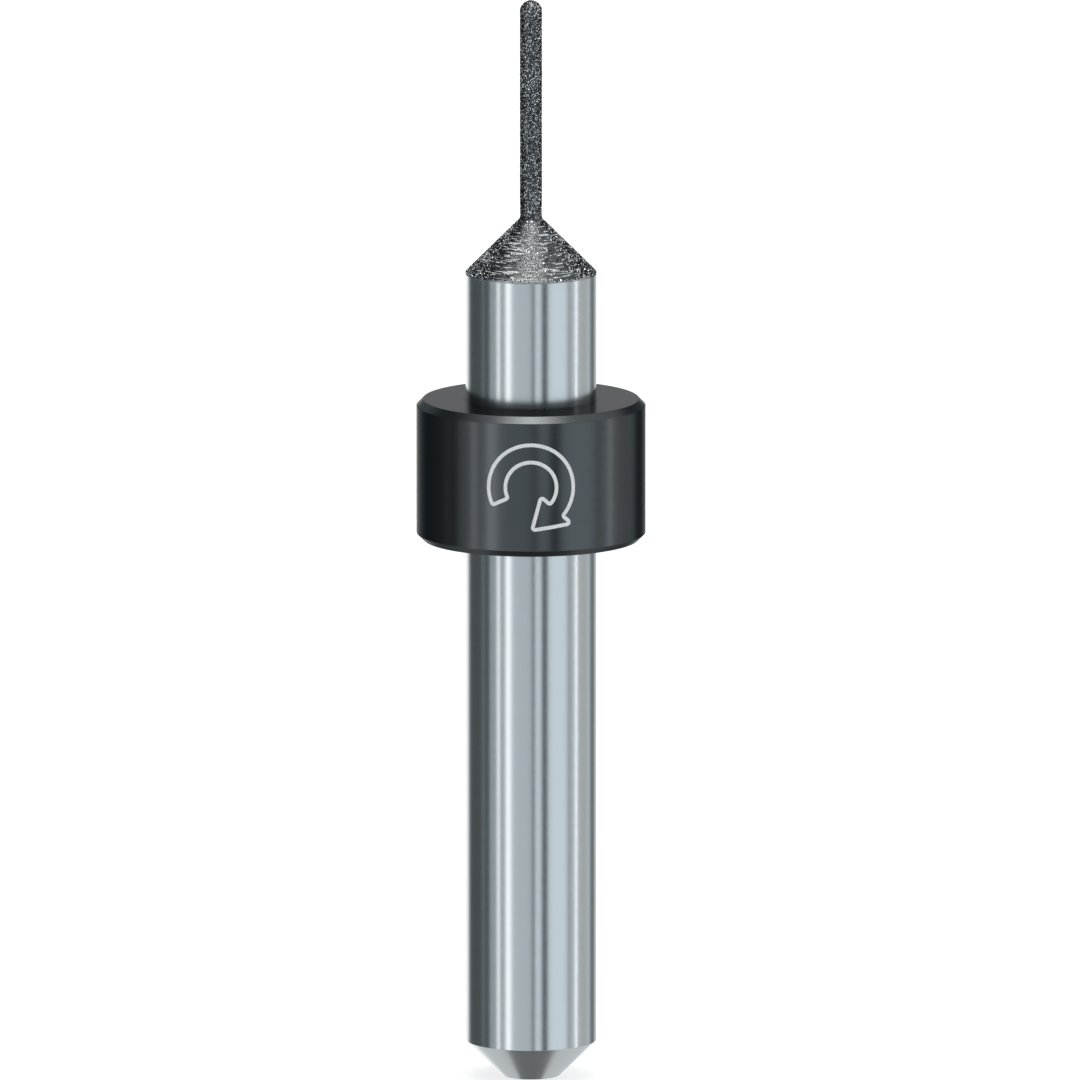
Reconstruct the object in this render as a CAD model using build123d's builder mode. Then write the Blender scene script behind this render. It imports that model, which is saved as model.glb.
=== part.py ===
from build123d import *
from math import radians, sin, tan
import os

os.makedirs("parts", exist_ok=True)

# A grinding tool for a milling spindle: a steel shank with a stop ring, and a slim
# diamond-coated needle that stands on a cone. The tool's axis is Z, its end face lies
# at Z = 0 and the needle points up. All sizes are in millimetres.

# Shank, from the end face up
shank_diameter = 6.0
end_chamfer = 1.65  # 45 degree lead-in around the end face
clamp_length = 25.0  # from the end face to the stop ring, where a collet holds the shank
neck_length = 5.9  # from the stop ring to the shoulder where the coated cone begins

# Stop ring, bonded to the shank
ring_diameter = 10.5
ring_height = 6.5
ring_chamfer = 0.3  # outer edges, top and bottom
bore_lead_in = 0.1  # chamfer at the top of the bore, the end that is pushed on first
bond_gap = 0.01  # between the shank and the ring's bore, on the radius

# Adhesive groove in the shank, hidden inside the ring
groove_depth = 0.2
lower_land = 0.15  # shank left full below the groove, inside the ring
upper_land = 1.0  # shank left full above it, which centres the ring

# Working end, measured over the diamond coat
cone_half_angle = 45.0  # degrees from the tool's axis
needle_diameter = 1.0
needle_length = 10.1  # from the cone to the end of the round tip
foot_radius = 0.2  # hollow round where the needle stands on the cone
coat_thickness = 0.06
lip_radius = 0.08  # round edge of the coat on the shank

# Sizes and heights that follow
shank_radius = shank_diameter / 2
groove_radius = shank_radius - groove_depth
needle_radius = needle_diameter / 2
half_angle = radians(cone_half_angle)
ring_top = clamp_length + ring_height
groove_bottom = clamp_length + lower_land
groove_top = ring_top - upper_land
shoulder = ring_top + neck_length
cone_height = (shank_radius - needle_radius) / tan(half_angle)
tip_centre = shoulder + cone_height + needle_length - needle_radius


def working_end(depth):
    """Draw the outline of the working end at a depth below its coated surface.

    It runs up the cone, through the hollow round at the needle's foot, up the needle
    and over the tip to the axis. Both ends of the outline are returned.
    """
    radius = needle_radius - depth
    cone_start = shoulder - depth / sin(half_angle)
    foot = cone_start + (shank_radius - radius) / tan(half_angle)
    side = FilletPolyline(
        (shank_radius, cone_start),
        (radius, foot),
        (radius, tip_centre),
        radius=foot_radius + depth,
    )
    tip = CenterArc((0, tip_centre), radius, 0, 90)
    return side @ 0, tip @ 1


# One turned blank: chamfered end, shank, cone and the bare core of the needle
with BuildPart() as shank:
    with BuildSketch(Plane.XZ):
        with BuildLine():
            cone_start, core_tip = working_end(coat_thickness)
            Polyline(
                core_tip,
                (0, 0),
                (shank_radius - end_chamfer, 0),
                (shank_radius, end_chamfer),
                (shank_radius, groove_bottom),
                (groove_radius, groove_bottom),
                (groove_radius, groove_top),
                (shank_radius, groove_top),
                cone_start,
            )
        make_face()
    revolve(axis=Axis.Z)
shank.part.label = "shank"

# The plated layer: a shell of even thickness between the coated surface and the blank,
# closed by a narrow band that lies flush with the shank
with BuildPart() as diamond_coat:
    with BuildSketch(Plane.XZ):
        with BuildLine():
            outer_start, outer_tip = working_end(0)
            inner_start, inner_tip = working_end(coat_thickness)
            Line(inner_start, outer_start)
            Line(inner_tip, outer_tip)
        make_face()
    revolve(axis=Axis.Z)
    widest_edges = diamond_coat.edges().filter_by(GeomType.CIRCLE).group_by(SortBy.RADIUS)[-1]
    fillet(widest_edges.sort_by(Axis.Z)[-1], lip_radius)
diamond_coat.part.label = "diamond_coat"

# The ring that stops the tool on the collet's nose
with BuildPart() as stop_ring:
    with BuildSketch(Plane.XY.offset(clamp_length)):
        Circle(ring_diameter / 2)
        Circle(shank_radius + bond_gap, mode=Mode.SUBTRACT)
    extrude(amount=ring_height)
    circles_by_size = stop_ring.edges().filter_by(GeomType.CIRCLE).group_by(SortBy.RADIUS)
    bore_edges, outer_edges = circles_by_size[0], circles_by_size[-1]
    chamfer(outer_edges, ring_chamfer)
    chamfer(bore_edges.sort_by(Axis.Z)[-1], bore_lead_in)
stop_ring.part.label = "stop_ring"

export_step(shank.part, "parts/shank.step")
export_step(diamond_coat.part, "parts/diamond_coat.step")
export_step(stop_ring.part, "parts/stop_ring.step")
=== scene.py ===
from math import cos, pi, radians, sin, tan

import bpy
import numpy as np
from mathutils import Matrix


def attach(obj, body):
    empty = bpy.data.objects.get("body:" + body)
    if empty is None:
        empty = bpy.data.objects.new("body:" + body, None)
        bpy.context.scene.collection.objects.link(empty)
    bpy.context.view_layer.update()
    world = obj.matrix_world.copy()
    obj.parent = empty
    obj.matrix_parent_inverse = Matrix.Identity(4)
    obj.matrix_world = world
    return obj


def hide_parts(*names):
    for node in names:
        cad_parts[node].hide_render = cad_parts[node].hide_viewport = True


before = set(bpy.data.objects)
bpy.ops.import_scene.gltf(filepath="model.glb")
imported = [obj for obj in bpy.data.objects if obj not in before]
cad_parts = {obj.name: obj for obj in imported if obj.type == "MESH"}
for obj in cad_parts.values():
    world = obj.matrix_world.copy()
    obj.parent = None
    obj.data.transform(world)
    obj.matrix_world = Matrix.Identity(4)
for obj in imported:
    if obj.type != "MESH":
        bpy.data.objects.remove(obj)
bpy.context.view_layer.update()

# A diamond burr for a milling spindle: ground steel shank, black stop ring, diamond-coated cone and needle.
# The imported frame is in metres. The dictionaries are in millimetres and degrees unless a note says otherwise.

mm = 0.001
scene = bpy.context.scene

# Sizes and heights that several pieces share. The height is measured from the end face, and the working end
# over its coat.
tool = {
    "radius": 3.0,  # of the shank and the cone
    "ringFoot": 25.0,
    "ringTop": 31.5,
    "bandFoot": 37.315,  # where the coat ends on the shank
    "shoulder": 37.4,  # where the cone begins
    "needleRadius": 0.5,
    "footRound": 0.2,  # hollow round where the needle stands on the cone
    "tipCentre": 49.5,
    "thickness": 0.06,  # of the coat
}

print("frame loaded:", ", ".join(sorted(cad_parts)))


class Wire:
    # one node output: a sum of wires and numbers adds a Math node, and a sum with a vector a Vector Math node
    def __init__(self, tree, socket):
        self.tree = tree
        self.socket = socket

    @classmethod
    def node(cls, tree, kind, settings=None, sockets=None, output=0):
        # settings go first, because a node's operation or data type decides which sockets it has
        made = tree.nodes.new("ShaderNode" + kind)
        for name, value in (settings or {}).items():
            setattr(made, name, value)
        for name, value in (sockets or {}).items():
            if isinstance(value, Wire):
                tree.links.new(value.socket, made.inputs[name])
            else:
                made.inputs[name].default_value = value
        return cls(tree, made.outputs[output]) if len(made.outputs) else made

    def sum(self, operation, first, second):
        def isVector(side):
            return isinstance(side, tuple) or isinstance(side, Wire) and side.socket.type != "VALUE"

        if isVector(first) or isVector(second):
            sides = [(side,) * 3 if isinstance(side, (int, float)) else side for side in (first, second)]
            return Wire.node(self.tree, "VectorMath", {"operation": operation}, {0: sides[0], 1: sides[1]})
        return Wire.node(self.tree, "Math", {"operation": operation}, {0: first, 1: second})

    def __add__(self, other):
        return self.sum("ADD", self, other)

    def __radd__(self, other):
        return self.sum("ADD", other, self)

    def __sub__(self, other):
        return self.sum("SUBTRACT", self, other)

    def __rsub__(self, other):
        return self.sum("SUBTRACT", other, self)

    def __mul__(self, other):
        return self.sum("MULTIPLY", self, other)

    def __rmul__(self, other):
        return self.sum("MULTIPLY", other, self)

    def ease(self, low, high, top=1.0):
        # smooth step: 0 where the wire is at low, top where it is at high
        return Wire.node(self.tree, "MapRange", {"interpolation_type": "SMOOTHSTEP", "clamp": True},
                         {"Value": self, "From Min": low, "From Max": high, "To Min": 0.0, "To Max": top})

    def blend(self, first, second):
        # colour that goes from first, where the wire is 0, to second, where it is 1
        fill = [side if isinstance(side, Wire) else tuple(side) + (1.0,) for side in (first, second)]
        return Wire.node(self.tree, "Mix", {"data_type": "RGBA"}, {0: self, 6: fill[0], 7: fill[1]}, output=2)


def startMaterial(name):
    # an empty material, its node tree and the wire that carries the place on the object
    material = bpy.data.materials.new(name)
    material.use_nodes = True
    material.node_tree.nodes.clear()
    tree = material.node_tree
    return material, tree, Wire.node(tree, "TexCoord", output="Object")


def finishMaterial(tree, sockets):
    shader = Wire.node(tree, "BsdfPrincipled", {}, sockets)
    Wire.node(tree, "OutputMaterial", {}, {"Surface": shader})


def noiseOn(tree, spot, size, detail=2.0, roughness=0.5):
    # even grain: one lump every size mm
    return Wire.node(tree, "TexNoise", {}, {"Vector": spot, "Scale": 1 / (size * mm), "Detail": detail,
                                            "Roughness": roughness})


def ringLines(tree, spot, length, pitch, detail=2.0):
    # lines that run round the tool, as a grinding wheel leaves them: length mm round, pitch mm along the axis
    scale = (1 / (length * mm), 1 / (length * mm), 1 / (pitch * mm))
    drawn = Wire.node(tree, "Mapping", {}, {"Vector": spot, "Scale": scale})
    return Wire.node(tree, "TexNoise", {}, {"Vector": drawn, "Scale": 1.0, "Detail": detail})


def relief(tree, height, depth):
    # fine relief, depth mm deep where the height goes from 0 to 1
    return Wire.node(tree, "Bump", {}, {"Strength": 1.0, "Distance": depth * mm, "Height": height})


smallBend = 0.005  # bends with a smaller radius get a few faces only


def roundedOutline(corners, steps=6):
    # The corners are (radius, height, rounding). Each becomes an arc that touches both of its sides: it
    # starts rounding * tan(turn / 2) before the corner and turns evenly about a centre on the inside of the
    # bend. Returns the points, and the normals on the right-hand side of the way they run, the outside.
    corner = np.array([c[:2] for c in corners], float)
    side = np.diff(corner, axis=0)
    side /= np.linalg.norm(side, axis=1)[:, None]
    points, normals = [corner[:1]], [np.array([[side[0, 1], -side[0, 0]]])]
    roundings = [c[2] for c in corners[1:-1]]
    for bend, before, after, rounding in zip(corner[1:-1], side[:-1], side[1:], roundings):
        turn = np.arctan2(before[0] * after[1] - before[1] * after[0], before @ after)
        parts = steps if rounding > smallBend else 2 if rounding else 0
        angle = np.linspace(0, turn, parts + 1)[:, None]
        heading = np.cos(angle) * before + np.sin(angle) * np.array([-before[1], before[0]])
        outward = np.column_stack([heading[:, 1], -heading[:, 0]])
        start = bend - before * rounding * tan(abs(turn) / 2)
        centre = start - outward[0] * rounding * np.sign(turn)
        points.append(centre + outward * rounding * np.sign(turn))
        normals.append(outward)
    if np.linalg.norm(points[-1][-1] - corner[-1]) > 1e-6:
        points.append(corner[-1:])
        normals.append(np.array([[side[-1, 1], -side[-1, 0]]]))
    return np.vstack(points), np.vstack(normals)


def evenSteps(points, normals, spacing):
    # the same outline with a point every spacing mm or less along its length
    length = np.concatenate([[0], np.cumsum(np.linalg.norm(np.diff(points, axis=0), axis=1))])
    at = np.linspace(0, length[-1], int(np.ceil(length[-1] / spacing)) + 1)
    even = np.column_stack([np.interp(at, length, column) for column in points.T])
    tilt = np.column_stack([np.interp(at, length, column) for column in normals.T])
    return even, tilt / np.linalg.norm(tilt, axis=1)[:, None]


def aroundAxis(radius, height, segments):
    # x = radius * cos(turn), y = radius * sin(turn), z = height, for every point of the outline, every turn.
    # The radius and the height are one number for each point, or one for each point and turn.
    turn = 2 * pi * np.arange(segments) / segments
    radius, height = np.broadcast_arrays(radius, height)
    if radius.ndim == 1:
        radius, height = radius[:, None], height[:, None]
    return np.stack([radius * np.cos(turn), radius * np.sin(turn), height + 0 * turn], axis=2)


def fillMesh(name, vertices, faces, material, smooth=True):
    # faces are arrays of vertex numbers, one array for each number of corners
    corners = np.concatenate([f.ravel() for f in faces]).astype(np.int32)
    sizes = np.concatenate([np.full(len(f), f.shape[1]) for f in faces])
    mesh = bpy.data.meshes.new(name)
    mesh.vertices.add(len(vertices))
    mesh.vertices.foreach_set("co", (vertices * mm).astype(np.float32).ravel())
    mesh.loops.add(len(corners))
    mesh.loops.foreach_set("vertex_index", corners)
    mesh.polygons.add(len(sizes))
    mesh.polygons.foreach_set("loop_start", (np.cumsum(sizes) - sizes).astype(np.int32))
    mesh.polygons.foreach_set("use_smooth", np.full(len(sizes), smooth))
    mesh.materials.append(material)
    mesh.update(calc_edges=True)
    mesh.validate()
    piece = bpy.data.objects.new(name, mesh)
    scene.collection.objects.link(piece)
    print(f"{name}: {len(vertices)} vertices, {int((sizes - 2).sum())} triangles")
    return piece


def quadsBetween(lower, upper):
    # four-cornered faces between two rows of closed rings, each ring a row of vertex numbers
    return np.stack([lower, np.roll(lower, -1, 1), np.roll(upper, -1, 1), upper], axis=2).reshape(-1, 4)


def closeEnds(rings):
    # the points of the rings, with the first and the last ring drawn together into one point each
    return np.vstack([rings[:1].mean(1), rings[1:-1].reshape(-1, 3), rings[-1:].mean(1)])


def joinRings(name, rings, normals, material, closed=False):
    # Rings is (outline point, turn, xyz), and neighbouring rings are joined by quads. An open outline starts
    # and ends on the axis, where its ends close to one point; a closed one joins its last ring to its first.
    count, segments = rings.shape[:2]
    number = np.arange(count * segments).reshape(count, segments)
    if closed:
        faces = [quadsBetween(number, np.roll(number, -1, axis=0))]
    else:
        number = number[1:-1] - segments + 1
        first, last = number[0], number[-1]
        footFan = np.stack([np.zeros_like(first), np.roll(first, -1), first], axis=1)
        tipFan = np.stack([np.full_like(last, last[-1] + 1), last, np.roll(last, -1)], axis=1)
        faces = [np.vstack([footFan, tipFan]), quadsBetween(number[:-1], number[1:])]
    piece = fillMesh(name, rings.reshape(-1, 3) if closed else closeEnds(rings), faces, material)
    if normals is not None:
        shading = normals.reshape(-1, 3) if closed else closeEnds(normals)
        shading = shading / np.linalg.norm(shading, axis=1)[:, None]
        piece.data.normals_split_custom_set_from_vertices(shading.astype(np.float32))
    return piece


def turned(name, corners, segments, material, closed=False):
    # a plain lathe shape from its corners, with exact shading normals
    if closed:
        corners = corners + corners[:2]  # runs on past its start, so that every corner is rounded
    points, normals = roundedOutline(corners)
    if closed:
        points, normals = points[1:-1], normals[1:-1]
    rings = aroundAxis(points[:, 0], points[:, 1], segments)
    shading = aroundAxis(normals[:, 0], normals[:, 1], segments)
    return joinRings(name, rings, shading, material, closed)


def eased(level):
    # 0 below 0, 1 above 1, and 3t^2 - 2t^3 between
    level = np.clip(level, 0, 1)
    return level * level * (3 - 2 * level)


def latticeNoise(around, along, cellsAround, cellsAlong, seed):
    # Smooth noise from -1 to 1: random numbers at the corners of a lattice, eased between them with
    # 3t^2 - 2t^3. Around goes from 0 to 1 and closes on itself, and along goes from 0 to 1.
    values = np.random.default_rng(seed).uniform(-1, 1, (cellsAlong + 2, cellsAround))
    column, row = (around % 1) * cellsAround, along * cellsAlong
    left = np.floor(column).astype(int) % cellsAround
    below = np.clip(np.floor(row).astype(int), 0, cellsAlong)
    across, up = eased(column - np.floor(column)), eased(row - below)
    right = (left + 1) % cellsAround
    low = values[below, left] * (1 - across) + values[below, right] * across
    high = values[below + 1, left] * (1 - across) + values[below + 1, right] * across
    return low * (1 - up) + high * up


def place(piece, slot, *nodes):
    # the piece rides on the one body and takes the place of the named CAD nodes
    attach(piece, "root")
    if nodes:
        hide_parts(*nodes)
    return piece


camera = {
    "lens": 1500,  # so long that the view is nearly parallel, as in the photo
    "sensor": 36,
    "distance": 2.0625,  # m
    "clip": (0.01, 20),  # m
    "elevation": 10,
    "aimAcross": 0.413,
    "aimHeight": 24.91,
}
floor = {
    "radius": 2.0,  # m
    "drop": 0.001,  # below the tool's end face, so that the two never share a plane
    "colour": (0.86, 0.86, 0.86),
    "shadeShare": 0.42,  # how much of what the camera sees of the floor is lit, and so can hold the shadow
    "glowShare": 0.72,  # the rest glows white to the camera alone
    "corners": 64,
}

lens = bpy.data.cameras.new("camera")
lens.lens = camera["lens"]
lens.sensor_width = camera["sensor"]
lens.clip_start, lens.clip_end = camera["clip"]
viewer = bpy.data.objects.new("camera", lens)
tilt = radians(camera["elevation"])
viewer.location = (camera["aimAcross"] * mm, -camera["distance"] * cos(tilt),
                   camera["aimHeight"] * mm + camera["distance"] * sin(tilt))
viewer.rotation_euler = (pi / 2 - tilt, 0, 0)
scene.collection.objects.link(viewer)
scene.camera = viewer
scene.view_settings.view_transform = "Standard"


def floorMaterial():
    # plain white paper: lit like any floor, with a glow for the camera's own rays that carries it up to white
    material, tree, _ = startMaterial("floor_paper")
    paper = Wire.node(tree, "BsdfDiffuse", {}, {"Color": floor["colour"] + (1.0,)})
    shade = Wire.node(tree, "BsdfDiffuse", {}, {"Color": (floor["shadeShare"],) * 3 + (1.0,)})
    glow = Wire.node(tree, "Emission", {}, {"Color": (1, 1, 1, 1), "Strength": floor["glowShare"]})
    seen = Wire.node(tree, "AddShader", {}, {0: shade, 1: glow})
    toCamera = Wire.node(tree, "LightPath", output="Is Camera Ray")
    fromAbove = Wire.node(tree, "MixShader", {}, {0: toCamera, 1: paper, 2: seen})
    behind = Wire.node(tree, "NewGeometry", output="Backfacing")
    clear = Wire.node(tree, "BsdfTransparent")
    both = Wire.node(tree, "MixShader", {}, {0: behind, 1: fromAbove, 2: clear})
    Wire.node(tree, "OutputMaterial", {}, {"Surface": both})
    return material


floorEdge = aroundAxis(np.array([floor["radius"] / mm]), np.array([-floor["drop"]]), floor["corners"])[0]
paperFloor = fillMesh("floor", floorEdge, [np.arange(floor["corners"])[None]], floorMaterial(), smooth=False)
paperFloor.visible_glossy = False  # the steel mirrors the studio's panels down to its end, as in the photo


# the studio is a soft lamp overhead and tall soft panels all round, in four tints
cool, deep, plain, warm = (0.93, 1.0, 1.045), (0.82, 1.0, 1.09), (1.0, 1.0, 1.0), (1.05, 1.0, 0.98)
studio = {
    "room": 0.765,
    "ceiling": 0.80,
    "lamp": 4.4,
    "lampFull": 4,  # degrees from straight up where the lamp starts to fade
    "lampGone": 22,
    "bulb": 12.0,  # its bright middle
    "bulbFull": 4,
    "bulbGone": 8,
    "wallTop": 50,  # the walls end here before and behind
    "lean": 0.17,  # and higher on the left and lower on the right
    "topEdge": 12,
    "wallFoot": -33,
    "footEdge": 7,
    "hood": 0.22,  # a dark hood above the camera's side
    "hoodFrom": 4,
    "hoodTo": 30,
    "hoodEdge": 5,
    "hoodHalf": 84,  # half its width
    "hoodSide": 8,
    "below": 0.78,
    "hole": 0.215,  # the dark patch under the tool
    "holeSize": 23.5,
    "holeEdge": 1.5,
    "panels": [  # direction from the camera's side, the right positive, half width, edge, strength, tint
        (192.0, 21.3, 8.0, 1.27, plain),
        (-115.8, 23, 16, 0.115, cool),
        (-84.3, 6.1, 9.4, 0.10, deep),
        (-58.5, 14.1, 1.4, 0.41, cool),
        (-59.7, 2.5, 2.0, 2.01, plain),
        (-40.7, 3.75, 6.8, 2.0, plain),
        (4.3, 2.6, 1.1, 0.03, deep),
        (12.9, 5.9, 1.4, 1.11, cool),
        (24.4, 5.6, 1.4, 0.05, deep),
        (48.4, 18.6, 1.1, 1.07, cool),
        (71.8, 4.3, 4.7, 0.49, plain),
        (90.1, 4.1, 1.4, 3.05, plain),
        (103, 14, 1.1, 0.625, plain),
        (139.3, 9.8, 8, 0.22, plain),
    ],
}


def buildStudio():
    world = bpy.data.worlds.new("studio")
    world.use_nodes = True
    tree = world.node_tree
    tree.nodes.clear()
    toward = Wire.node(tree, "TexCoord", output="Generated")
    up = Wire.node(tree, "SeparateXYZ", {}, {0: toward}, output="Z")
    right = Wire.node(tree, "SeparateXYZ", {}, {0: toward}, output="X")
    level = Wire.node(tree, "VectorMath", {"operation": "NORMALIZE"}, {0: toward * (1.0, 1.0, 0.0)})

    def lit(strength, tint):
        return tuple(strength * part for part in tint)

    def toSide(turn):
        # cosine of the angle to the side that is turned so far from the camera's
        side = (sin(radians(turn)), -cos(radians(turn)), 0.0)
        both = {0: level, 1: side}
        return Wire.node(tree, "VectorMath", {"operation": "DOT_PRODUCT"}, both, output="Value")

    def within(wire, full, gone):
        # 1 to 0 where the wire, the cosine of an angle, goes from one angle to the other
        return wire.ease(cos(radians(gone)), cos(radians(full)))

    def above(wire, angle, edge):
        # 0 to 1 where the wire, the sine of a height, passes the angle
        return wire.ease(sin(radians(angle - edge)), sin(radians(angle + edge)))

    def under(wire, angle, edge):
        return wire.ease(sin(radians(angle + edge)), sin(radians(angle - edge)))

    wall = lit(studio["room"], cool)
    for turn, half, edge, strength, tint in studio["panels"]:
        wall = within(toSide(turn), half - edge / 2, half + edge / 2).blend(wall, lit(strength, tint))
    hood = within(toSide(0), studio["hoodHalf"] - studio["hoodSide"], studio["hoodHalf"] + studio["hoodSide"])
    hood = hood * above(up, studio["hoodFrom"], studio["hoodEdge"])
    hood = hood * under(up, studio["hoodTo"], studio["hoodEdge"])
    wall = hood.blend(wall, lit(studio["hood"], cool))
    lid = above(up + right * studio["lean"], studio["wallTop"], studio["topEdge"])
    room = lid.blend(wall, lit(studio["ceiling"], plain))
    room = under(up, studio["wallFoot"], studio["footEdge"]).blend(room, lit(studio["below"], plain))
    room = within(up, studio["lampFull"], studio["lampGone"]).blend(room, lit(studio["lamp"], warm))
    room = within(up, studio["bulbFull"], studio["bulbGone"]).blend(room, lit(studio["bulb"], warm))
    hole = under(up, studio["holeSize"] - 90, studio["holeEdge"])  # its size is measured from straight down
    room = hole.blend(room, lit(studio["hole"], plain))
    toCamera = Wire.node(tree, "LightPath", output="Is Camera Ray")
    shown = toCamera.blend(room, (1.0, 1.0, 1.0))
    back = Wire.node(tree, "Background", {}, {"Color": shown, "Strength": 1.0})
    Wire.node(tree, "OutputWorld", {}, {"Surface": back})
    scene.world = world


buildStudio()
print("camera, floor and studio ready")


shank = {
    "endChamfer": 1.65,
    "grooveDepth": 0.2,  # adhesive groove, hidden in the ring
    "lowerLand": 0.15,  # full shank below it, inside the ring
    "upperLand": 1.0,  # and above it
    "segments": 256,
    "edge": 0.03,  # broken edges
    "grooveEdge": 0.02,
    "coneEdge": 0.01,
    "colour": (0.545, 0.585, 0.602),
    "gloss": 0.20,  # roughness
    "grind": (4.0, 0.05),  # length and pitch of the grinding lines
    "grindDepth": 0.00006,
    "waves": (9.0, 0.6),  # and of broader ones
    "cloud": 1.3,
    "dust": 0.09,
}


def groundSteel():
    material, tree, spot = startMaterial("ground_steel")
    fine = ringLines(tree, spot, *shank["grind"], detail=3.0)
    broad = ringLines(tree, spot, *shank["waves"])
    cloud = noiseOn(tree, spot, shank["cloud"], detail=3.0)
    dust = noiseOn(tree, spot, shank["dust"], detail=1.0)
    tone = fine * 0.05 + broad * 0.015 + cloud * 0.015 + 0.96
    dull = (fine - 0.5) * 0.05 + (cloud - 0.5) * 0.01 + (dust - 0.5) * 0.015 + shank["gloss"]
    finishMaterial(tree, {
        "Base Color": tone * shank["colour"],
        "Metallic": 1.0,
        "Roughness": dull,
        "Normal": relief(tree, fine * 0.7 + broad * 0.3, shank["grindDepth"]),
    })
    return material


def shankCorners():
    # the end with its chamfer, the groove, and the core of the cone and the needle under the coat
    full, groove = tool["radius"], tool["radius"] - shank["grooveDepth"]
    low, high = tool["ringFoot"] + shank["lowerLand"], tool["ringTop"] - shank["upperLand"]
    core = tool["needleRadius"] - tool["thickness"]
    tip = tool["tipCentre"] + core
    return [
        (0, 0, 0),
        (full - shank["endChamfer"], 0, shank["edge"]),
        (full, shank["endChamfer"], shank["edge"]),
        (full, low, shank["grooveEdge"]),
        (groove, low, shank["grooveEdge"]),
        (groove, high, shank["grooveEdge"]),
        (full, high, shank["grooveEdge"]),
        (full, tool["bandFoot"], shank["coneEdge"]),
        (core, tool["bandFoot"] + full - core, tool["footRound"] + tool["thickness"]),
        (core, tip, core),
        (0, tip, 0),
    ]


place(turned("shank_ground", shankCorners(), shank["segments"], groundSteel()), "ground_steel", "shank")


ring = {
    "outer": 5.25,
    "bore": 3.01,  # leaves 0.01 for the adhesive
    "chamfer": 0.3,
    "leadIn": 0.1,  # chamfer at the top of the bore
    "edge": 0.035,
    "boreEdge": 0.02,
    "segments": 288,
    "colour": (0.088, 0.098, 0.104),
    "rim": (0.33, 0.33, 0.33),  # how bright the anodising is at a grazing angle
    "gloss": 0.24,
    "grain": 0.05,
    "grainDepth": 0.0005,
    "cloud": 1.6,
    "lines": (6.0, 0.12),  # length and pitch of the turning lines
}


def blackAnodising():
    material, tree, spot = startMaterial("black_anodised")
    grain = noiseOn(tree, spot, ring["grain"])
    cloud = noiseOn(tree, spot, ring["cloud"], detail=3.0)
    lines = ringLines(tree, spot, *ring["lines"])
    tone = (grain - 0.5) * 0.20 + (cloud - 0.5) * 0.07 + (lines - 0.5) * 0.08 + 1.0
    dull = (grain - 0.5) * 0.08 + (cloud - 0.5) * 0.02 + ring["gloss"]
    finishMaterial(tree, {
        "Base Color": tone * ring["colour"],
        "Metallic": 1.0,
        "Roughness": dull,
        "Specular Tint": ring["rim"] + (1.0,),
        "Normal": relief(tree, grain * 0.8 + lines * 0.2, ring["grainDepth"]),
    })
    return material


def ringCorners():
    # up the outside, over the top and down the bore
    outer, rim, bore = ring["outer"], ring["outer"] - ring["chamfer"], ring["bore"]
    foot, top = tool["ringFoot"], tool["ringTop"]
    return [
        (rim, foot, ring["edge"]),
        (outer, foot + ring["chamfer"], ring["edge"]),
        (outer, top - ring["chamfer"], ring["edge"]),
        (rim, top, ring["edge"]),
        (bore + ring["leadIn"], top, ring["boreEdge"]),
        (bore, top - ring["leadIn"], ring["boreEdge"]),
        (bore, foot, ring["boreEdge"]),
    ]


place(turned("stop_ring_black", ringCorners(), ring["segments"], blackAnodising(), closed=True),
      "black_anodised", "stop_ring")


bead = {
    "lap": 0.012,  # how far it is smeared over the ring's top
    "proud": 0.0005,  # how far it stands above that
    "rooted": 0.003,  # and how far its outer edge goes below
    "sunk": 0.004,  # how far its sides lie inside the steel and the ring
    "edge": 0.0003,
    "hiddenEdge": 0.002,
    "segments": 192,
    "colour": (0.078, 0.087, 0.093),
    "gloss": 0.26,
    "skin": 0.12,
    "skinDepth": 0.001,
}


def blackAdhesive():
    material, tree, spot = startMaterial("black_adhesive")
    skin = noiseOn(tree, spot, bead["skin"])
    tone = (skin - 0.5) * 0.4 + 1.0
    finishMaterial(tree, {
        "Base Color": tone * bead["colour"],
        "Metallic": 1.0,
        "Roughness": (skin - 0.5) * 0.1 + bead["gloss"],
        "Specular Tint": ring["rim"] + (1.0,),
        "Normal": relief(tree, skin, bead["skinDepth"]),
    })
    return material


def beadCorners():
    # it fills the lead-in of the bore and is wiped flush with the ring's top
    foot, top = tool["ringTop"] - ring["leadIn"], tool["ringTop"] + bead["proud"]
    inner = tool["radius"] - bead["sunk"]
    outer = ring["bore"] + ring["leadIn"] + bead["lap"]
    return [
        (ring["bore"] + bead["sunk"], foot, bead["hiddenEdge"]),
        (outer, tool["ringTop"] - bead["rooted"], bead["hiddenEdge"] / 2),
        (outer, top, bead["edge"]),
        (inner, top, bead["edge"]),
        (inner, foot, bead["hiddenEdge"]),
    ]


place(turned("adhesive_bead", beadCorners(), bead["segments"], blackAdhesive(), closed=True),
      "black_anodised")
print("shank, ring and bead turned")


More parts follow.
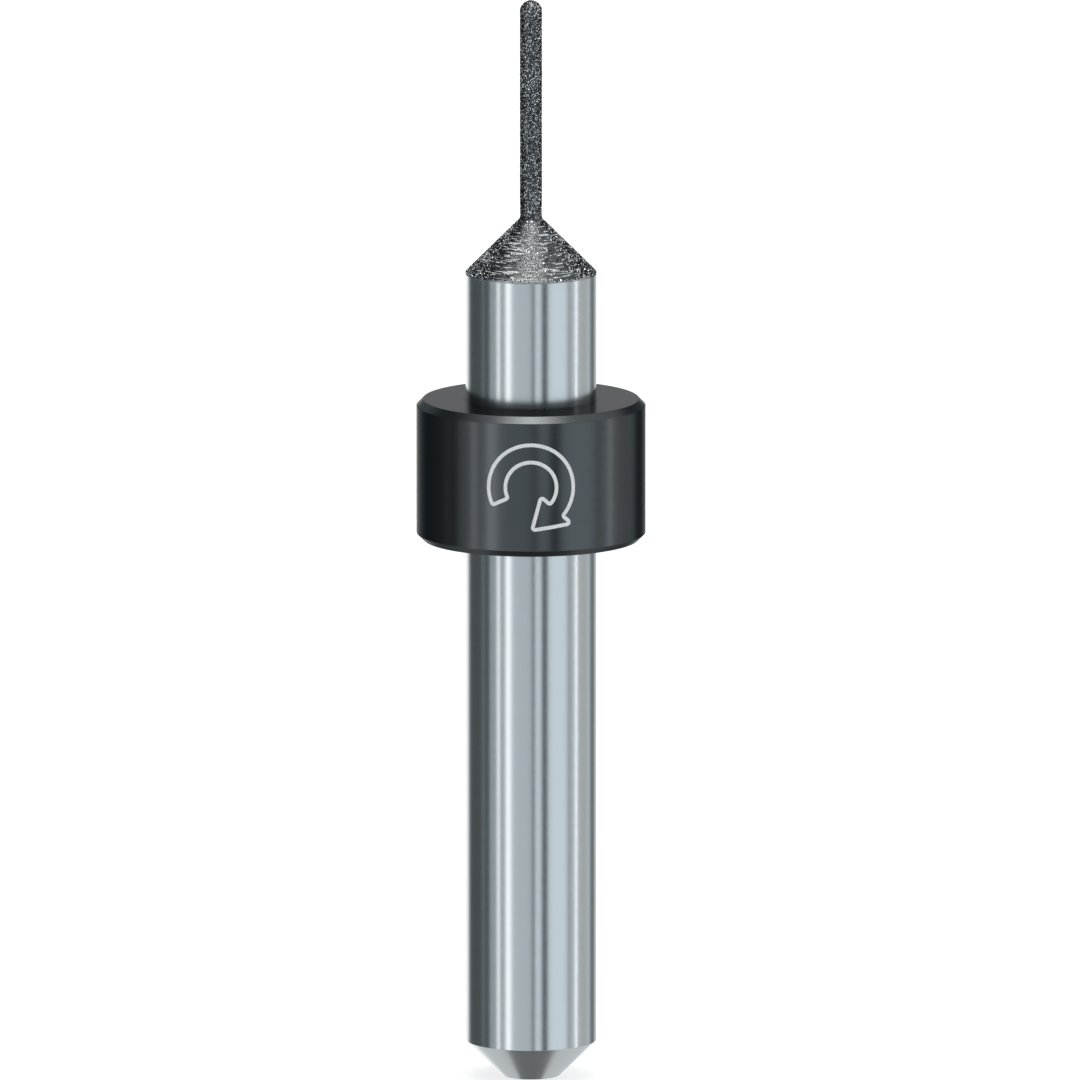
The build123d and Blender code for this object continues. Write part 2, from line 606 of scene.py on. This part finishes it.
coat = {
    "sunk": 0.016,  # how far the nickel lies below the tops of the grains
    "tipDrop": 0.02,  # and how much deeper at the needle's tip
    "lip": 0.04,  # rounding of the corner where the cone begins
    "flush": 0.0005,  # how far it stands out from the shank
    "lap": 0.002,  # and where it laps over the corner of the steel
    "lapAt": (-0.008, 0.004, 0.020),  # heights of the lap's start, top and end, from the coat's edge
    "needleFrom": 0.501,  # the outline counts as the needle below this radius
    "segments": 256,
    "coneStep": 0.04,
    "needleStep": 0.08,
    "lump": 0.004,  # how far the lumps stand in or out
    "lumpSize": 0.11,
    "lumpsAround": 48,
    "lumpFade": (0.12, 0.3),  # from the lip and from the tip
    "lumpSeed": 6,
    "colour": (0.063, 0.068, 0.072),
    # pale nickel: paler at its edge on the shank and a little on the cone, and a painted highlight at the
    # needle's tip
    "paleRubAndSheen": (0.45, 0.47, 0.48),
    # height and how far towards the pale colour: the edge on the shank, the cone, the needle, and its tip,
    # where it is a painted highlight
    "rubAndSheenAt": ((37.39, 1.0), (37.43, 0.09), (39.8, 0.09), (40.3, 0.0), (49.4, 0.0), (49.6, 0.12)),
    "rim": (0.22, 0.22, 0.22),
    "gloss": 0.28,
    "fine": 0.06,  # sizes of the spots in its tone
    "patch": 0.5,
    "lines": (0.5, 0.05),  # length and pitch
    "reliefDepth": 0.004,
}
grit = {
    "cone": {
        "size": 0.098,
        "atFoot": 0.65,  # share of that size at the needle's foot
        "perSquare": 235,  # grains on a square millimetre
        "tilt": 24,  # how far from flat they lie
        "rarity": 3.8,  # higher leaves fewer bright grains
        "tones": (0.0, 1.6),
        "clumps": (245, 0.65),  # seed and strength of the brighter and darker clumps
        "gloss": 0.25,
    },
    "bands": {
        "size": 0.058,
        "atFoot": 1.0,
        "perSquare": 330,
        "tilt": 12,
        "rarity": 1.6,
        "tones": (0.05, 0.77),
        "clumps": (8, 0.35),
        "gloss": 0.31,
    },
    "needle": {
        "size": 0.061,
        "atFoot": 1.0,
        "perSquare": 290,
        "tilt": 19,
        "rarity": 2.3,
        "tones": (0.0, 1.35),
        "clumps": (8, 0.35),
        "gloss": 0.25,
    },
    "spread": 0.22,  # how much the grains differ in size
    "sizes": (0.5, 1.6),  # least and most, as shares of the size
    "footRadii": (0.6, 1.2),  # between these radii they reach their full size
    "stretch": (0.8, 1.2),  # along each of a grain's own axes
    "waver": 0.7,  # how much they differ in their tilt
    "uneven": 0.004,  # how far their tops stand in or out
    # height and how far they stand out there: the needle is a little fuller, its tip a little flatter
    "stand": ((40.3, 0.0), (40.8, 0.009), (49.6, 0.009), (49.95, -0.020)),
    # height and how much rarer the bright ones are there
    "rarityAt": ((49.4, 1.0), (49.6, 0.85), (49.7, 1.0), (49.85, 1.5)),
    "sides": 1.0,  # how much rarer they are on the needle's left and right: a painted shade at its sides
    "paintedFrontLight": 0.1,  # and commoner before and behind: painted light
    "needleFrom": 0.62,  # both from this radius down
    "needleEdge": 0.1,
    "clumpCells": (9, 0.4),  # number of clumps round the tool, and their height
    "bandWidth": 0.82,  # of the fine grit, before and behind
    "bandEdge": 0.1,
    "bandWaver": 0.06,
    "sideReach": 0.12,  # of the coarse grit on both sides of the cone
    "sideEdge": 0.3,
    "sideWaver": 0.35,
    "waverCells": (30, 0.3, 5),  # number of cells round the tool, their height and the seed
    "between": 0.16,  # share of the coarse grit that is left where the cone is streaked
    "atLip": 0.5,  # and along its lower edge
    "lipWidth": 0.09,
    "neck": 1.0,  # below this radius it grows denser again
    "neckEdge": 0.35,
    "offNeedle": 0.53,  # the bands of fine grit begin at this radius
    "offNeedleEdge": 0.12,
    "overEdge": 0.03,  # how far the grit reaches down past the corner where the cone begins
    "shoulderRound": 0.05,
    "step": 0.01,
    "jitterAlong": 0.35,  # of the spacing
    "jitterRound": 0.06,
    "axisRadius": 0.05,  # the jitter round the tool grows no further inside this radius
    "dark": (0.014, 0.0155, 0.0165),
    "pale": (0.93, 0.97, 0.99),
    "rim": (0.10, 0.10, 0.10),
    "flaw": 0.02,
    "worn": 0.16,  # how much duller the grains are at the needle's tip
    "wornAt": (0.05, 0.35),  # height above the tip's centre where that starts and ends
    "seed": 11,
}
streak = {
    "perSquare": 22,
    "from": 0.7,  # radius where they start
    "offEdge": 0.03,  # how far inside the cone's outer edge they end
    "besides": 0.72,  # share left out on both sides of the cone
    "length": 0.34,
    "spread": 0.6,  # how much they differ in length
    "lengths": (0.3, 3.2),  # least and most, as shares of the length
    "reach": 0.45,  # no end is further from its middle than this share of the radius
    "width": 0.037,
    "widths": (0.5, 1.25),  # least and most, as shares of the width
    "proud": 0.007,  # their crests above their edges
    "raised": 0.003,  # their edges above the nickel
    "rooted": 0.02,  # their roots below their edges
    "slant": 0.025,
    "points": 9,
    "taper": 0.97,  # 1 would bring the ends to a point
    "colour": (0.90, 0.92, 0.92),  # pale nickel, a painted glint of the lamp on the ridges
    "tones": (0.65, 1.4),
    "gloss": 0.20,
    "rubAndSheen": 0.05,
    "seed": 21,
}


def frontBand(turn, radius, unevenness=0.0):
    # 1 in a strip of even width up the front and the back of the tool, where |x| is small, and 0 elsewhere
    inside = grit["bandWidth"] / 2 - np.abs(radius * np.cos(2 * pi * turn))
    return eased((inside + grit["bandWaver"] * unevenness) / grit["bandEdge"] + 0.5)


def sideBands(turn, unevenness=0.0):
    # 1 on each side of the tool, 0 towards the front and the back: the cosine of twice the angle, eased
    level = np.cos(4 * pi * turn) + grit["sideReach"] + grit["sideWaver"] * unevenness
    return eased(level / grit["sideEdge"])


def offNeedle(radius):
    # 0 on the needle, rising to 1 on the cone past the needle's hollow foot
    return eased((radius - grit["offNeedle"]) / grit["offNeedleEdge"])


def coarseShare(turn, radius, unevenness):
    # how much of the coarse grit is left: all at the needle and at the sides, less between, none in the bands
    left = grit["between"] + (1 - grit["between"]) * sideBands(turn, unevenness)
    left = np.maximum(left, grit["atLip"] * (radius > tool["radius"] - grit["lipWidth"]))
    left = np.maximum(left, np.clip((grit["neck"] - radius) / grit["neckEdge"], 0, 1))
    return left * (1 - frontBand(turn, radius, unevenness) * offNeedle(radius))


def fineShare(turn, radius, unevenness):
    # the fine grit fills the bands before and behind, up to the needle's foot
    return frontBand(turn, radius, unevenness) * offNeedle(radius)


def darkNickel():
    material, tree, spot = startMaterial("dark_nickel")
    fine = noiseOn(tree, spot, coat["fine"], roughness=0.6)
    patch = noiseOn(tree, spot, coat["patch"])
    lines = ringLines(tree, spot, *coat["lines"])
    # how pale the nickel is: paler at its edge on the shank, and a painted highlight at the needle's tip
    rubAndSheen = Wire.node(tree, "Attribute", {"attribute_name": "rubAndSheen"}, output="Fac")
    tone = (fine - 0.5) * 0.5 + (patch - 0.5) * 0.8 + (lines - 0.5) * 0.9 + 1.0
    finishMaterial(tree, {
        "Base Color": tone * rubAndSheen.blend(coat["colour"], coat["paleRubAndSheen"]),
        "Metallic": 1.0,
        "Roughness": (fine - 0.5) * 0.16 + (patch - 0.5) * 0.12 + coat["gloss"],
        "Specular Tint": coat["rim"] + (1.0,),
        "Normal": relief(tree, fine * 0.7 + lines * 0.3, coat["reliefDepth"]),
    })
    return material


def paintedGlintNickel():
    material, tree, spot = startMaterial("nickel_painted_glint")
    shine = Wire.node(tree, "Attribute", {"attribute_name": "shine"}, output="Fac")
    rubAndSheen = noiseOn(tree, spot, streak["rubAndSheen"])
    # the pale colour is a painted glint, its strength set streak by streak by shine
    finishMaterial(tree, {
        "Base Color": shine * ((rubAndSheen - 0.5) * 0.5 + 1.0) * streak["colour"],
        "Metallic": 1.0,
        "Roughness": (rubAndSheen - 0.5) * 0.2 + streak["gloss"],
    })
    return material


def diamondGrain(name, gloss):
    material, tree, spot = startMaterial(name)
    tone = Wire.node(tree, "Attribute", {"attribute_name": "grainTone"}, output="Fac")
    flaw = noiseOn(tree, spot, grit["flaw"], detail=1.0)
    height = Wire.node(tree, "SeparateXYZ", {}, {0: spot}, output="Z")
    worn = height.ease(*[(tool["tipCentre"] + rise) * mm for rise in grit["wornAt"]], top=grit["worn"])
    finishMaterial(tree, {
        "Base Color": (tone * 0.9 + flaw * tone * 0.2).blend(grit["dark"], grit["pale"]),
        "Metallic": 1.0,
        "Roughness": (flaw - 0.5) * 0.1 + worn + gloss,
        "Specular Tint": grit["rim"] + (1.0,),
    })
    return material


def storeOn(piece, name, values):
    # one number for each vertex, for the piece's material to read
    attribute = piece.data.attributes.new(name, "FLOAT", "POINT")
    attribute.data.foreach_set("value", values.astype(np.float32))


def workingEnd(depth):
    # cone, hollow foot, needle and round tip at a depth below the coated surface, from the cone's foot to
    # the axis
    radius = tool["needleRadius"] - depth
    start = tool["shoulder"] - depth / sin(pi / 4)
    foot = start + (tool["radius"] - radius)
    tip = tool["tipCentre"] + radius
    hollow = tool["footRound"] + depth
    return [(tool["radius"], start, 0), (radius, foot, hollow), (radius, tip, radius), (0, tip, 0)]


def coatOutline():
    # the outer surface of the nickel from its lap over the steel to the tip, as points and normals
    cone = workingEnd(coat["sunk"])
    side = tool["radius"] + coat["flush"]
    cone[0] = (side, cone[0][1] - coat["flush"], coat["lip"])
    lap = tool["radius"] + coat["lap"]
    lapFoot, lapTop, lapEnd = [tool["bandFoot"] + rise for rise in coat["lapAt"]]
    edge = [(lap, lapFoot, 0), (lap, lapTop, 0), (side, lapEnd, 0)]
    points, normals = roundedOutline(edge + cone, steps=10)
    coneStart = len(edge)
    needleStart = int(np.argmax(points[:, 0] < coat["needleFrom"]))
    onCone = slice(coneStart, needleStart + 1)
    conePart = evenSteps(points[onCone], normals[onCone], coat["coneStep"])
    needlePart = evenSteps(points[needleStart:], normals[needleStart:], coat["needleStep"])
    return (np.vstack([points[:coneStart], conePart[0], needlePart[0][1:]]),
            np.vstack([normals[:coneStart], conePart[1], needlePart[1][1:]]))


def coatShell():
    # The inner surface from the tip down to the cone's foot, then the outer one back up to the tip. The outer
    # one is moved along its normals by even noise that fades at the lip and at the tip.
    inner, _ = roundedOutline(workingEnd(tool["thickness"]), steps=8)
    points, normals = coatOutline()
    length = np.concatenate([[0], np.cumsum(np.linalg.norm(np.diff(points, axis=0), axis=1))])
    turn = (np.arange(coat["segments"]) / coat["segments"])[None]
    along = (length / length[-1])[:, None]
    lumpsAlong = int(length[-1] / coat["lumpSize"])
    lumps = latticeNoise(turn, along, coat["lumpsAround"], lumpsAlong, coat["lumpSeed"])
    atLip, atTip = coat["lumpFade"]
    fade = np.clip((length[-1] - length) / atTip, 0, 1)[:, None] * np.clip(length / atLip, 0, 1)[:, None]
    radius = points[:, :1] + normals[:, :1] * coat["lump"] * lumps * fade
    height = points[:, 1:] + normals[:, 1:] * coat["lump"] * lumps * fade
    height = height - coat["tipDrop"] * eased((height - tool["tipCentre"]) / tool["needleRadius"])
    radius[-1] = 0
    innerRings = aroundAxis(inner[::-1, 0], inner[::-1, 1], coat["segments"])
    rings = np.vstack([innerRings, aroundAxis(radius, height, coat["segments"])])
    piece = joinRings("coat_nickel", rings, None, darkNickel())
    vertices = np.empty(len(piece.data.vertices) * 3, np.float32)
    piece.data.vertices.foreach_get("co", vertices)
    # how pale the nickel is by height: the paler edge on the shank and the painted highlight at the tip
    storeOn(piece, "rubAndSheen", np.interp(vertices[2::3] / mm, *zip(*coat["rubAndSheenAt"])))
    return piece


def scatterStreaks(material):
    # A streak is a low ridge of nickel that runs round the cone, its pale colour a painted glint of the lamp.
    # u goes from end to end, and its section is a diamond: an edge, the crest, the other edge and the root.
    # Width and height swell with the root of 1 - (0.97 u)^2, so that the ends stay a little wide. On a cone the
    # area grows with the square of the radius, so even shares of that square place them evenly.
    rng = np.random.default_rng(streak["seed"])
    slope = 0.5 ** 0.5  # sine and cosine of the cone's half angle
    wide, narrow = tool["radius"] - streak["offEdge"], streak["from"]
    count = int(streak["perSquare"] * pi * (wide ** 2 - narrow ** 2) / slope)
    radius = np.sqrt(narrow ** 2 + (wide ** 2 - narrow ** 2) * rng.uniform(size=count))
    turn = rng.uniform(size=count)
    leftOut = np.maximum(frontBand(turn, radius), streak["besides"] * sideBands(turn))
    kept = rng.uniform(size=count) > leftOut
    radius, turn = radius[kept, None, None], turn[kept, None, None]
    count = len(radius)
    spread = np.exp(rng.normal(0, streak["spread"], (count, 1, 1))).clip(*streak["lengths"])
    half = np.minimum(streak["length"] / 2 * spread, streak["reach"] * radius)
    u = np.linspace(-1, 1, streak["points"])[None, :, None]
    swell = np.sqrt(1 - (streak["taper"] * u) ** 2)
    width = streak["width"] / 2 * rng.uniform(*streak["widths"], (count, 1, 1)) * swell
    slant = rng.normal(0, streak["slant"], (count, 1, 1)) * half * u
    across = slant + width * np.array([-1, 0, 1, 0])[None, None]
    lift = streak["proud"] * swell * np.array([0, 1, 0, 0]) - streak["rooted"] * np.array([0, 0, 0, 1])
    lift = lift + streak["raised"] - coat["sunk"]
    outward = radius + (lift - across) * slope
    up = tool["shoulder"] + (tool["radius"] - radius) + (lift + across) * slope
    angle = 2 * pi * turn + u * half / radius
    grid = np.stack([outward * np.cos(angle), outward * np.sin(angle), up + 0 * angle], axis=3)
    number = np.arange(grid[..., 0].size).reshape(grid.shape[:3])
    side = np.roll(number, -1, axis=2)
    quads = np.stack([number[:, :-1], number[:, 1:], side[:, 1:], side[:, :-1]], axis=3).reshape(-1, 4)
    ends = np.vstack([number[:, 0], number[:, -1, ::-1]])
    piece = fillMesh("streaks", grid.reshape(-1, 3), [np.vstack([quads, ends])], material, smooth=False)
    storeOn(piece, "shine", np.repeat(rng.uniform(*streak["tones"], count), number[0].size))
    return piece


# a grain is a blocky diamond crystal with 8 three-cornered and 6 square faces: two of the three coordinates
# of a corner are plus or minus 1, and the third is 0, all made smaller so that the crystal is about 1 across
grainCorners = np.array([
    (1, 1, 0), (1, -1, 0), (-1, -1, 0), (-1, 1, 0),
    (1, 0, 1), (0, 1, 1), (-1, 0, 1), (0, -1, 1),
    (1, 0, -1), (0, 1, -1), (-1, 0, -1), (0, -1, -1),
]) / (2 * 2 ** 0.5)
grainSquares = np.array([
    (4, 5, 6, 7), (8, 11, 10, 9), (0, 4, 1, 8), (2, 6, 3, 10), (0, 9, 3, 5), (1, 7, 2, 11),
])
grainTriangles = np.array([
    (0, 5, 4), (1, 4, 7), (2, 7, 6), (3, 6, 5), (0, 8, 9), (1, 11, 8), (2, 10, 11), (3, 9, 10),
])
evenFill = (0.7548776662466927, 0.5698402909980532)  # steps of the two series that place the grains evenly


def spreadGrains(kind, share, fromLength, toLength, rng):
    # The outline is walked by area, so that every square millimetre gets as many grains. Grain k sits where
    # two evenly filling series, the fractions of k * 0.7549 and k * 0.5698, place it along and round.
    corners = workingEnd(0)
    corners[0] = corners[0][:2] + (grit["shoulderRound"],)
    corners = [(tool["radius"], tool["bandFoot"], 0)] + corners
    points, normals = evenSteps(*roundedOutline(corners, steps=16), grit["step"])
    step = np.linalg.norm(np.diff(points, axis=0), axis=1)
    area = np.concatenate([[0], np.cumsum(2 * pi * (points[1:, 0] + points[:-1, 0]) / 2 * step)])
    length = np.concatenate([[0], np.cumsum(step)])
    low, high = np.interp([fromLength, toLength], length, area)
    k = np.arange(int((high - low) * kind["perSquare"]))
    spacing = 1 / np.sqrt(kind["perSquare"])
    at = np.interp(low + (high - low) * ((k * evenFill[0]) % 1), area, length)
    at = np.clip(at + rng.normal(0, grit["jitterAlong"] * spacing, k.size), fromLength, toLength)
    radius, height = [np.interp(at, length, points[:, i]) for i in (0, 1)]
    jitter = rng.normal(0, grit["jitterRound"] * spacing, k.size) / np.maximum(radius, grit["axisRadius"])
    turn = (k * evenFill[1] + jitter) % 1
    cells, cellHeight, seed = grit["waverCells"]
    unevenness = latticeNoise(turn, at / length[-1], cells, int(length[-1] / cellHeight), seed)
    kept = rng.uniform(size=k.size) < share(turn, radius, unevenness)
    at, radius, height, turn = [values[kept] for values in (at, radius, height, turn)]
    outR, outZ = [np.interp(at, length, normals[:, i]) for i in (0, 1)]
    angle = 2 * pi * turn
    return {
        "radius": radius,
        "height": height,
        "turn": turn,
        "along": at / length[-1],
        "total": length[-1],
        "outward": np.column_stack([outR * np.cos(angle), outR * np.sin(angle), outZ]),
        "surface": np.column_stack([radius * np.cos(angle), radius * np.sin(angle), height]),
    }


def grainShapes(kind, seat, rng):
    # Each grain lies nearly flat: its own up is the surface's outward direction, tipped a little at random,
    # and it is spun about that at random. Then it is sunk until its highest corner lies at the coated
    # surface, give or take a little.
    count = len(seat["radius"])
    size = kind["size"] * np.exp(rng.normal(0, grit["spread"], count)).clip(*grit["sizes"])
    size = size * np.interp(seat["radius"], grit["footRadii"], [kind["atFoot"], 1])
    up = seat["outward"] + np.tan(np.radians(kind["tilt"])) * rng.normal(0, grit["waver"], (count, 3))
    up /= np.linalg.norm(up, axis=1)[:, None]
    side = np.cross(up, rng.normal(size=(count, 3)))
    side /= np.linalg.norm(side, axis=1)[:, None]
    axes = np.stack([side, np.cross(up, side), up], axis=1)
    stretch = rng.uniform(*grit["stretch"], (count, 1, 3))
    shapes = (grainCorners[None] * stretch * size[:, None, None]) @ axes
    reach = np.einsum("gcx,gx->gc", shapes, seat["outward"]).max(axis=1)
    sink = rng.normal(0, grit["uneven"], count) + np.interp(seat["height"], *zip(*grit["stand"])) - reach
    return shapes + (seat["surface"] + seat["outward"] * sink[:, None])[:, None]


def grainTones(kind, seat, rng):
    # a few grains are bright, most are dark, and clumps of them are brighter than the rest
    seed, strength = kind["clumps"]
    cells, cellHeight = grit["clumpCells"]
    clump = strength * latticeNoise(seat["turn"], seat["along"], cells, int(seat["total"] / cellHeight), seed)
    rarity = kind["rarity"] * (1 - clump) * np.interp(seat["height"], *zip(*grit["rarityAt"]))
    onNeedle = eased((grit["needleFrom"] - seat["radius"]) / grit["needleEdge"])
    # painted shade: fewer bright grains on the needle's left and right, more before and behind
    paintedSideShade = np.cos(2 * pi * seat["turn"]) ** 4
    rarity = rarity * (1 + onNeedle * grit["sides"] * (paintedSideShade - grit["paintedFrontLight"]))
    return np.interp(rng.uniform(size=len(rarity)) ** rarity, [0, 1], kind["tones"])


def scatterGrains(name, kind, share, fromLength, toLength, seed):
    rng = np.random.default_rng(seed)
    seat = spreadGrains(kind, share, fromLength, toLength, rng)
    shapes = grainShapes(kind, seat, rng)
    first = (np.arange(len(shapes)) * len(grainCorners))[:, None, None]
    faces = [(grainTriangles[None] + first).reshape(-1, 3), (grainSquares[None] + first).reshape(-1, 4)]
    material = diamondGrain(name.replace("grit", "diamond"), kind["gloss"])
    piece = fillMesh(name, shapes.reshape(-1, 3), faces, material, smooth=False)
    storeOn(piece, "grainTone", np.repeat(grainTones(kind, seat, rng), len(grainCorners)))
    return piece


# along the outline, from the coat's edge: where the cone begins, where its grit starts, and where it ends
coneFoot = tool["shoulder"] - tool["bandFoot"]
coneFrom = coneFoot - grit["overEdge"]
coneTo = coneFoot + (tool["radius"] - tool["needleRadius"]) * 2 ** 0.5
place(coatShell(), "diamond_plating", "diamond_coat")
place(scatterStreaks(paintedGlintNickel()), "diamond_plating")
place(scatterGrains("grit_cone", grit["cone"], coarseShare, coneFrom, coneTo, grit["seed"]),
      "diamond_plating")
place(scatterGrains("grit_bands", grit["bands"], fineShare, coneFrom, coneTo, grit["seed"] + 2),
      "diamond_plating")
place(scatterGrains("grit_needle", grit["needle"], coarseShare, coneTo, np.inf, grit["seed"] + 1),
      "diamond_plating")
print("coat plated and grit set")


# laser mark on the ring: an arrow that shows which way the tool turns
mark = {
    "inner": 1.18,
    "outer": 1.98,
    "headInner": 0.62,
    "headOuter": 2.54,
    "from": 205,  # degrees, measured from the right
    "to": -42,
    "headLength": 1.45,
    "headTurn": 9,  # how far the head bends round with the arrow
    "arcPoints": 72,
    "innerPoints": 56,
    "gap": 0.22,  # straight stretch at the ends of each arc, with room to round its corners
    "rounding": 0.1,
    "roundingRoom": 0.48,  # most of a side that one corner takes
    "step": 0.03,
    "line": 0.17,
    "bevel": 0.006,
    "proud": 0.004,
    "rooted": 0.02,
    "colour": (0.84, 0.87, 0.89),
    "dots": 0.05,
    "dotDepth": 0.004,
}


def laserMark():
    material, tree, spot = startMaterial("laser_mark")
    dots = noiseOn(tree, spot, mark["dots"])
    finishMaterial(tree, {
        "Base Color": ((dots - 0.5) * 0.35 + 1.0) * mark["colour"],
        "Roughness": dots * 0.2 + 0.45,
        "Normal": relief(tree, dots, mark["dotDepth"]),
    })
    return material


def arrowOutline():
    # a bent arrow: outer arc, head and inner arc, as (across, up) about its own centre
    def arc(radius, start, end, count):
        clear = np.sign(end - start) * np.degrees(mark["gap"] / radius)
        angle = np.radians(np.concatenate([[start], np.linspace(start + clear, end - clear, count), [end]]))
        return np.column_stack([radius * np.cos(angle), radius * np.sin(angle)])

    def spot(radius, turn):
        return radius * np.array([[cos(radians(turn)), sin(radians(turn))]])

    middle = (mark["inner"] + mark["outer"]) / 2
    heading = radians(mark["to"] - 90 - mark["headTurn"])
    tip = spot(middle, mark["to"]) + mark["headLength"] * np.array([cos(heading), sin(heading)])
    head = [spot(mark["headOuter"], mark["to"]), tip, spot(mark["headInner"], mark["to"])]
    return np.vstack([arc(mark["outer"], mark["from"], mark["to"], mark["arcPoints"]), *head,
                      arc(mark["inner"], mark["to"], mark["from"], mark["innerPoints"])])


def softened(loop, rounding, steps=7):
    # Every corner of a closed loop becomes an arc that touches both sides, rounding * tan(turn / 2) before
    # and after it. Then the whole loop is divided evenly, so that its long straight runs can follow the ring.
    before, after = loop - np.roll(loop, 1, 0), np.roll(loop, -1, 0) - loop
    room = mark["roundingRoom"] * np.minimum(np.linalg.norm(before, axis=1), np.linalg.norm(after, axis=1))
    before, after = [side / np.linalg.norm(side, axis=1)[:, None] for side in (before, after)]
    across = before[:, 0] * after[:, 1] - before[:, 1] * after[:, 0]
    turn = np.arctan2(across, np.einsum("ij,ij->i", before, after))
    reach = np.minimum(rounding * np.tan(np.abs(turn) / 2), room)
    radius = (reach / np.tan(turn / 2))[:, None, None]  # less than 0 where the loop turns right
    angle = turn[:, None] * np.linspace(0, 1, steps)
    aheadX = before[:, :1] * np.cos(angle) - before[:, 1:] * np.sin(angle)
    aheadY = before[:, :1] * np.sin(angle) + before[:, 1:] * np.cos(angle)
    toLeft = np.stack([-aheadY, aheadX], axis=2)
    start = (loop - before * reach[:, None])[:, None]
    curve = (start + (toLeft[:, :1] - toLeft) * radius).reshape(-1, 2)
    curve = np.vstack([curve, curve[:1]])
    return evenSteps(curve, curve, mark["step"])[0][:-1]


def bandOnRing(name, loop, material):
    # a flat band carried along a closed loop on the ring: across / radius is its angle, up is its height
    ahead = np.roll(loop, -1, 0) - np.roll(loop, 1, 0)
    ahead /= np.linalg.norm(ahead, axis=1)[:, None]
    sideways = np.column_stack([ahead[:, 1], -ahead[:, 0]])
    half, proud, root = mark["line"] / 2, mark["proud"], -mark["rooted"]
    flatHalf = half - mark["bevel"]
    section = np.array([(-half, root), (-half, proud / 2), (-flatHalf, proud),
                        (flatHalf, proud), (half, proud / 2), (half, root)])
    flat = loop[None] + section[:, None, :1] * sideways[None]
    radius = ring["outer"] + section[:, 1][:, None]
    turn = flat[..., 0] / ring["outer"] - pi / 2
    height = flat[..., 1] + (tool["ringFoot"] + tool["ringTop"]) / 2
    grid = np.stack([radius * np.cos(turn), radius * np.sin(turn), height], axis=2)
    number = np.arange(grid[..., 0].size).reshape(grid.shape[:2])
    quads = quadsBetween(np.roll(number, -1, axis=0), number)
    return fillMesh(name, grid.reshape(-1, 3), [quads], material, smooth=False)


place(bandOnRing("turning_arrow", softened(arrowOutline(), mark["rounding"]), laserMark()), "black_anodised")
print("mark drawn")
